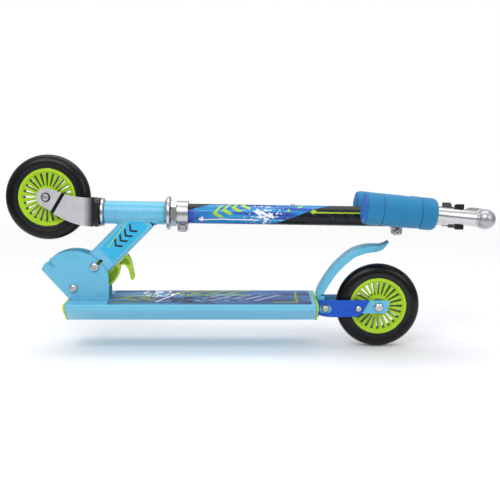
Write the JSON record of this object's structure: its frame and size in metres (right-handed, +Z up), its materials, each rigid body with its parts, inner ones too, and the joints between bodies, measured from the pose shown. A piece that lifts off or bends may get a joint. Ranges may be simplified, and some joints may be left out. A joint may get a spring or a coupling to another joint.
{
  "type": "folding kick scooter",
  "caption": "Child's folding kick scooter, folded: hull-section deck, latch bracket, telescopic column with folding handles, slotted hubs and a fender brake.",
  "frame": {"origin": "on the ground under the middle of the folded scooter's box", "axes": "+X to the scooter's rear, +Y to its right side, +Z up"},
  "size_m": [0.6827, 0.1441, 0.275],
  "materials": {
    "deck_paint": "gloss powder coat on an extrusion",
    "blue_paint": "gloss powder coat",
    "grip_sheet": "printed fine grit",
    "lime_plastic": "moulded satin gloss",
    "royal_plastic": "moulded satin",
    "tyre": "smooth cast polyurethane",
    "black_paint": "gloss, printed graphics on the outer tube",
    "black_plastic": "moulded matte",
    "chrome": "polished plate",
    "button_brass": "satin",
    "steel": "zinc plated",
    "foam": "fine closed-cell foam",
    "grip_cap": "moulded satin"
  },
  "bodies": {
    "frame": {"deck": "deck_paint", "grip_tape": "grip_sheet", "front_end_cap": "lime_plastic", "rear_end_cap": "lime_plastic", "bracket_left_plate": "blue_paint", "bracket_right_plate": "blue_paint", "fold_pivot_bolt": "steel", "rear_yoke": "blue_paint", "left_yoke_cover": "royal_plastic", "right_yoke_cover": "royal_plastic", "left_cover_screw": "steel", "right_cover_screw": "steel", "brake_pivot_bolt": "steel", "brake_spring": "steel", "rear_axle": "chrome", "rear_bearing_spacer": "steel"},
    "brake": {"brake": "blue_paint"},
    "rear_wheel": {"rear_hub": "lime_plastic", "rear_tyre": "tyre", "rear_left_bearing": "steel", "rear_right_bearing": "steel"},
    "neck": {"strut": "blue_paint", "head_tube": "blue_paint", "lower_headset_cup": "chrome", "upper_headset_cup": "chrome", "lower_headset_bearing": "steel", "upper_headset_bearing": "steel", "latch_spring": "steel"},
    "latch": {"lock_pin": "steel", "left_lock_pin_head": "chrome", "right_lock_pin_head": "chrome", "trigger": "lime_plastic"},
    "steering": {"fork_left_arm": "chrome", "fork_right_arm": "chrome", "fork_crown": "black_paint", "headset_lock_nut": "chrome", "lower_clamp": "steel", "lower_clamp_bolt": "steel", "outer_tube": "black_paint", "upper_clamp": "steel", "upper_clamp_bolt": "steel", "front_axle": "chrome", "front_bearing_spacer": "steel"},
    "front_wheel": {"front_hub": "lime_plastic", "front_tyre": "tyre", "front_left_bearing": "steel", "front_right_bearing": "steel"},
    "height_button": {"height_button": "button_brass"},
    "column": {"inner_tube": "chrome", "tee": "chrome", "handle_clip": "black_plastic"},
    "left_handle": {"left_handle_knuckle": "black_plastic", "left_handle_tube": "chrome", "left_handle_grip": "foam", "left_handle_grip_cap": "grip_cap"},
    "right_handle": {"right_handle_knuckle": "black_plastic", "right_handle_tube": "chrome", "right_handle_grip": "foam", "right_handle_grip_cap": "grip_cap"}
  },
  "joints": [
    {"name": "fold", "type": "hinge", "parent": "frame", "child": "neck", "pos_m": [-0.24645, 0, 0.0868], "axis": [0, -1, 0], "range_deg": [0, 86.4]},
    {"name": "latch_slide", "type": "slide", "parent": "neck", "child": "latch", "axis": [0.7071, 0, 0.7071], "range_m": [0, 0.0128], "stiffness_N_per_m": 400, "springref_m": -0.01},
    {"name": "steer", "type": "hinge", "parent": "neck", "child": "steering", "pos_m": [-0.24476, 0, 0.19449], "axis": [0.9999, 0, -0.0157], "range_deg": [-40.5, 49.5]},
    {"name": "front_wheel_spin", "type": "hinge", "parent": "steering", "child": "front_wheel", "pos_m": [-0.28134, 0.00159, 0.2152], "axis": [-0.0012, 0.9969, -0.0784], "continuous": true},
    {"name": "rear_wheel_spin", "type": "hinge", "parent": "frame", "child": "rear_wheel", "pos_m": [0.18705, 0, 0.06], "axis": [0, 1, 0], "continuous": true},
    {"name": "brake_press", "type": "hinge", "parent": "frame", "child": "brake", "pos_m": [0.11095, 0, 0.058], "axis": [0, 1, 0], "range_deg": [0, 14], "stiffness_Nm_per_rad": 1.5, "springref_deg": -17.19},
    {"name": "button_press", "type": "slide", "parent": "steering", "child": "height_button", "axis": [-0.0157, -0.0785, -0.9968], "range_m": [0, 0.003], "stiffness_N_per_m": 500, "springref_m": -0.002},
    {"name": "height_slide", "type": "slide", "parent": "steering", "child": "column", "axis": [0.9999, 0, -0.0157], "range_m": [0, 0.12]},
    {"name": "left_handle_fold", "type": "hinge", "parent": "column", "child": "left_handle", "pos_m": [0.32762, -0.03988, 0.18863], "axis": [0.0941, 0.0782, 0.9925], "range_deg": [0, 86.5]},
    {"name": "right_handle_fold", "type": "hinge", "parent": "column", "child": "right_handle", "pos_m": [0.32752, 0.03988, 0.18236], "axis": [-0.0941, -0.0782, -0.9925], "range_deg": [0, 86.5]}
  ]
}
